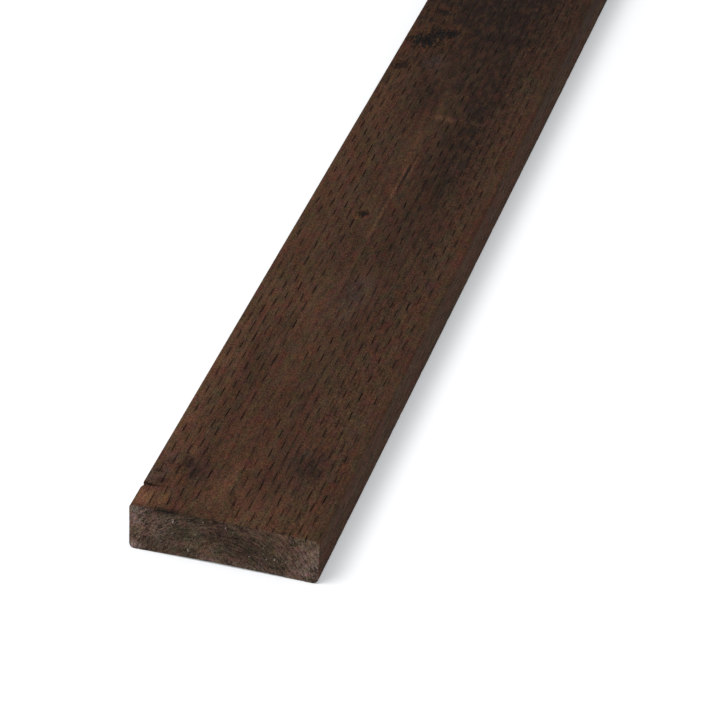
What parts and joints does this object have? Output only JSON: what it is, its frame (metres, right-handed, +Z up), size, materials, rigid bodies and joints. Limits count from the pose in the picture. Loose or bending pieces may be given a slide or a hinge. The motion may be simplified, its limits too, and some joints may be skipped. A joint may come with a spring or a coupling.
{
  "type": "pressure-treated plank",
  "caption": "Sawn softwood plank with eased long edges, square ends and a chipped arris, treated brown for framing and decking outdoors.",
  "frame": {"origin": "middle of the underside, on the plane that the plank rests on", "axes": "+Y along the length, away from the end with the chipped arris; +X across the width; +Z up, out of the upper wide face"},
  "size_m": [0.14, 2.438, 0.038],
  "materials": {
    "treated_wood": "rough matte, brown preservative stain"
  },
  "bodies": {
    "root": {"plank": "treated_wood"}
  },
  "joints": []
}
